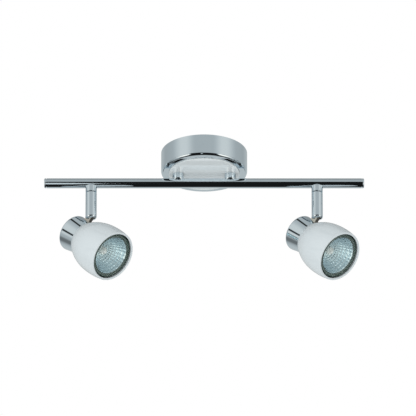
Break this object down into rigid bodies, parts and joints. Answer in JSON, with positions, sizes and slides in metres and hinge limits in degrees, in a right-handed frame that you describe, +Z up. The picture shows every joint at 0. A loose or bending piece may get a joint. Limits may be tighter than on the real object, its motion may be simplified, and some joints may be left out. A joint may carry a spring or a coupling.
{
  "type": "spotlight bar",
  "caption": "Ceiling spotlight bar: round chrome canopy with a white plate, a thin tube bar on posts, and swivelling arms whose white bullet heads tilt and hold twist-lock lamps.",
  "frame": {"origin": "middle of the ceiling face, on the mounting bracket's top", "axes": "+Z up into the ceiling, +X along the bar to the viewer's right, -Y towards the viewer"},
  "size_m": [0.355, 0.0954, 0.1572],
  "materials": {
    "chrome": "polished chrome plate",
    "white_gloss": "glossy white enamel",
    "white_satin": "satin white enamel",
    "zinc_steel": "zinc plated steel",
    "nickel": "dull nickel plate",
    "white_polymer": "moulded polyamide",
    "brass": "bare brass",
    "lead_sleeve": "heat-proof silicone sleeve",
    "ceramic": "white steatite ceramic",
    "reflector": "dichroic coated glass",
    "lamp_glass": "clear cover glass",
    "quartz": "quartz capsule"
  },
  "bodies": {
    "canopy_and_bar": {"canopy_drum": "chrome", "canopy_plate": "white_gloss", "mounting_bracket": "zinc_steel", "canopy_screws": "chrome", "terminal_block": "white_polymer", "terminal_screws": "brass", "earth_screw": "brass", "post_washers": "zinc_steel", "post_nuts": "zinc_steel", "bar_tube": "chrome", "bar_post_left": "chrome", "end_cap_left": "chrome", "bar_lead_left": "lead_sleeve", "arm_collar_left": "chrome", "swivel_nipple_left": "zinc_steel", "swivel_washer_left": "brass", "bar_post_right": "chrome", "end_cap_right": "chrome", "bar_lead_right": "lead_sleeve", "arm_collar_right": "chrome", "swivel_nipple_right": "zinc_steel", "swivel_washer_right": "brass"},
    "arm_left": {"arm_tube_left": "chrome", "knuckle_pin_left": "nickel", "arm_lead_left": "lead_sleeve"},
    "head_left": {"tilt_tongue_left": "nickel", "lamp_cup_left": "chrome", "lamp_shade_left": "white_satin", "shade_screws_left": "zinc_steel", "lampholder_left": "ceramic", "holder_screws_left": "zinc_steel", "holder_contacts_left": "brass"},
    "lamp_left": {"lamp_reflector_left": "reflector", "lamp_front_glass_left": "lamp_glass", "lamp_capsule_left": "quartz", "lamp_base_left": "ceramic", "lamp_pins_left": "nickel"},
    "arm_right": {"arm_tube_right": "chrome", "knuckle_pin_right": "nickel", "arm_lead_right": "lead_sleeve"},
    "head_right": {"tilt_tongue_right": "nickel", "lamp_cup_right": "chrome", "lamp_shade_right": "white_satin", "shade_screws_right": "zinc_steel", "lampholder_right": "ceramic", "holder_screws_right": "zinc_steel", "holder_contacts_right": "brass"},
    "lamp_right": {"lamp_reflector_right": "reflector", "lamp_front_glass_right": "lamp_glass", "lamp_capsule_right": "quartz", "lamp_base_right": "ceramic", "lamp_pins_right": "nickel"}
  },
  "joints": [
    {"name": "arm_swivel_left", "type": "hinge", "parent": "canopy_and_bar", "child": "arm_left", "pos_m": [-0.1253, 0, -0.04855], "axis": [0, 0, 1], "range_deg": [-175, 175]},
    {"name": "head_tilt_left", "type": "hinge", "parent": "arm_left", "child": "head_left", "pos_m": [-0.1253, 0, -0.07665], "axis": [-0.5892, -0.808, 0], "range_deg": [-39.5, 45]},
    {"name": "lamp_twist_left", "type": "hinge", "parent": "head_left", "child": "lamp_left", "pos_m": [-0.13881, 0.00985, -0.09708], "axis": [0.6253, -0.4559, -0.6334], "range_deg": [0, 22]},
    {"name": "arm_swivel_right", "type": "hinge", "parent": "canopy_and_bar", "child": "arm_right", "pos_m": [0.1253, 0, -0.04855], "axis": [0, 0, 1], "range_deg": [-175, 175]},
    {"name": "head_tilt_right", "type": "hinge", "parent": "arm_right", "child": "head_right", "pos_m": [0.1253, 0, -0.07665], "axis": [-0.5892, -0.808, 0], "range_deg": [-39.5, 45]},
    {"name": "lamp_twist_right", "type": "hinge", "parent": "head_right", "child": "lamp_right", "pos_m": [0.11179, 0.00985, -0.09708], "axis": [0.6253, -0.4559, -0.6334], "range_deg": [0, 22]}
  ]
}
